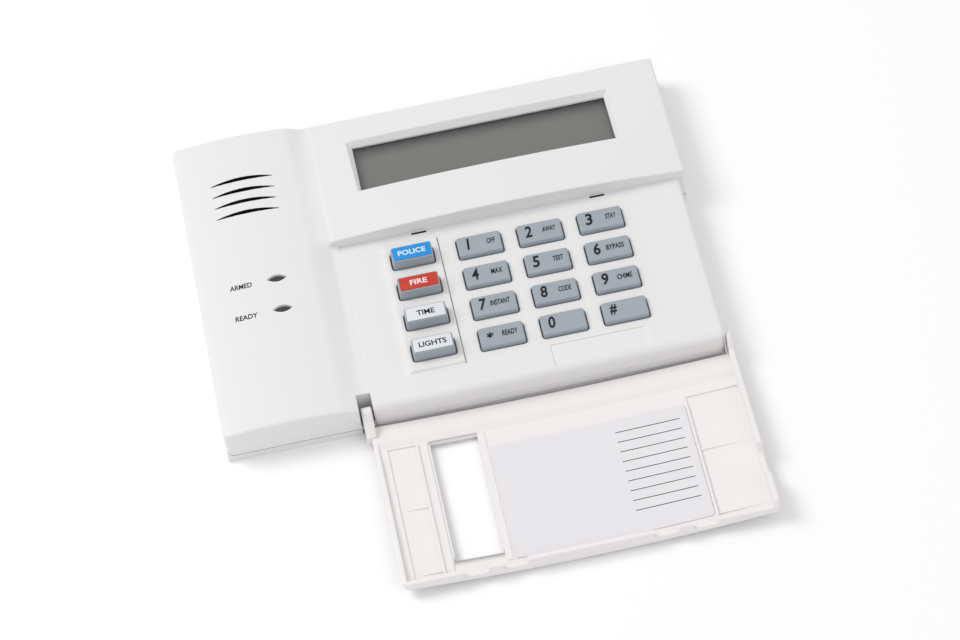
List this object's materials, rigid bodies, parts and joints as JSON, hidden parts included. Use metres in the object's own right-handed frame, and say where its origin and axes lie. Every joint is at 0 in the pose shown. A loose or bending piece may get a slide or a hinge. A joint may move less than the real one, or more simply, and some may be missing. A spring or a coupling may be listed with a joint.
{
  "type": "alarm keypad panel",
  "caption": "Wall-mounted alarm keypad with a display, twelve keys, four function keys, a sounder wing and a flip-down door, shown with the door open.",
  "frame": {"origin": "centre of the back plate's rear face, which lies against the wall", "axes": "+X to the panel's right seen from the front, +Y up along its height towards the display, +Z out of its face"},
  "size_m": [0.187, 0.207, 0.0205],
  "materials": {
    "white_plastic": "fine satin moulded",
    "key_grey": "satin",
    "silicone": "matt",
    "blue_label": "satin label",
    "red_label": "satin label",
    "white_label": "satin label",
    "paper": "coated paper label",
    "clear_plastic": "clear",
    "lcd_glass": "grey-green display glass",
    "diffuser": "milky",
    "steel": "plated",
    "board_green": "solder mask",
    "chip_black": "matt",
    "terminal_green": "matt",
    "smoked_plastic": "smoked",
    "sounder_black": "matt"
  },
  "bodies": {
    "root": {"armed_led": "diffuser", "armed_lens": "smoked_plastic", "back_plate": "white_plastic", "backlight": "diffuser", "board_screw_1": "steel", "board_screw_2": "steel", "board_screw_3": "steel", "board_screw_4": "steel", "capacitor": "chip_black", "crystal": "steel", "display_jumper": "chip_black", "display_lens": "clear_plastic", "front_case": "white_plastic", "keypad_mat": "silicone", "lcd_board": "board_green", "lcd_frame": "steel", "lcd_glass": "lcd_glass", "lcd_screw_1": "steel", "lcd_screw_2": "steel", "lcd_screw_3": "steel", "lcd_screw_4": "steel", "main_board": "board_green", "microcontroller": "chip_black", "ready_led": "diffuser", "ready_lens": "smoked_plastic", "sounder": "sounder_black", "terminal_block": "terminal_green", "terminal_screw_1": "steel", "terminal_screw_2": "steel", "terminal_screw_3": "steel", "terminal_screw_4": "steel"},
    "door": {"door": "white_plastic", "instruction_card": "paper"},
    "key_1": {"key_1": "key_grey"},
    "key_2": {"key_2": "key_grey"},
    "key_3": {"key_3": "key_grey"},
    "key_4": {"key_4": "key_grey"},
    "key_5": {"key_5": "key_grey"},
    "key_6": {"key_6": "key_grey"},
    "key_7": {"key_7": "key_grey"},
    "key_8": {"key_8": "key_grey"},
    "key_9": {"key_9": "key_grey"},
    "key_star": {"key_star": "key_grey"},
    "key_0": {"key_0": "key_grey"},
    "key_hash": {"key_hash": "key_grey"},
    "key_police": {"key_police": "key_grey", "sticker_police": "blue_label"},
    "key_fire": {"key_fire": "key_grey", "sticker_fire": "red_label"},
    "key_time": {"key_time": "key_grey", "sticker_time": "white_label"},
    "key_lights": {"key_lights": "key_grey", "sticker_lights": "white_label"}
  },
  "joints": [
    {"name": "door_hinge", "type": "hinge", "parent": "root", "child": "door", "pos_m": [0, -0.0656, 0.0092], "axis": [-1, 0, 0], "range_deg": [0, 178]},
    {"name": "key_1_press", "type": "slide", "parent": "root", "child": "key_1", "axis": [0, 0, -1], "range_m": [0, 0.0012], "stiffness_N_per_m": 500},
    {"name": "key_2_press", "type": "slide", "parent": "root", "child": "key_2", "axis": [0, 0, -1], "range_m": [0, 0.0012], "stiffness_N_per_m": 500},
    {"name": "key_3_press", "type": "slide", "parent": "root", "child": "key_3", "axis": [0, 0, -1], "range_m": [0, 0.0012], "stiffness_N_per_m": 500},
    {"name": "key_4_press", "type": "slide", "parent": "root", "child": "key_4", "axis": [0, 0, -1], "range_m": [0, 0.0012], "stiffness_N_per_m": 500},
    {"name": "key_5_press", "type": "slide", "parent": "root", "child": "key_5", "axis": [0, 0, -1], "range_m": [0, 0.0012], "stiffness_N_per_m": 500},
    {"name": "key_6_press", "type": "slide", "parent": "root", "child": "key_6", "axis": [0, 0, -1], "range_m": [0, 0.0012], "stiffness_N_per_m": 500},
    {"name": "key_7_press", "type": "slide", "parent": "root", "child": "key_7", "axis": [0, 0, -1], "range_m": [0, 0.0012], "stiffness_N_per_m": 500},
    {"name": "key_8_press", "type": "slide", "parent": "root", "child": "key_8", "axis": [0, 0, -1], "range_m": [0, 0.0012], "stiffness_N_per_m": 500},
    {"name": "key_9_press", "type": "slide", "parent": "root", "child": "key_9", "axis": [0, 0, -1], "range_m": [0, 0.0012], "stiffness_N_per_m": 500},
    {"name": "key_star_press", "type": "slide", "parent": "root", "child": "key_star", "axis": [0, 0, -1], "range_m": [0, 0.0012], "stiffness_N_per_m": 500},
    {"name": "key_0_press", "type": "slide", "parent": "root", "child": "key_0", "axis": [0, 0, -1], "range_m": [0, 0.0012], "stiffness_N_per_m": 500},
    {"name": "key_hash_press", "type": "slide", "parent": "root", "child": "key_hash", "axis": [0, 0, -1], "range_m": [0, 0.0012], "stiffness_N_per_m": 500},
    {"name": "key_police_press", "type": "slide", "parent": "root", "child": "key_police", "axis": [0, 0, -1], "range_m": [0, 0.0012], "stiffness_N_per_m": 500},
    {"name": "key_fire_press", "type": "slide", "parent": "root", "child": "key_fire", "axis": [0, 0, -1], "range_m": [0, 0.0012], "stiffness_N_per_m": 500},
    {"name": "key_time_press", "type": "slide", "parent": "root", "child": "key_time", "axis": [0, 0, -1], "range_m": [0, 0.0012], "stiffness_N_per_m": 500},
    {"name": "key_lights_press", "type": "slide", "parent": "root", "child": "key_lights", "axis": [0, 0, -1], "range_m": [0, 0.0012], "stiffness_N_per_m": 500}
  ]
}
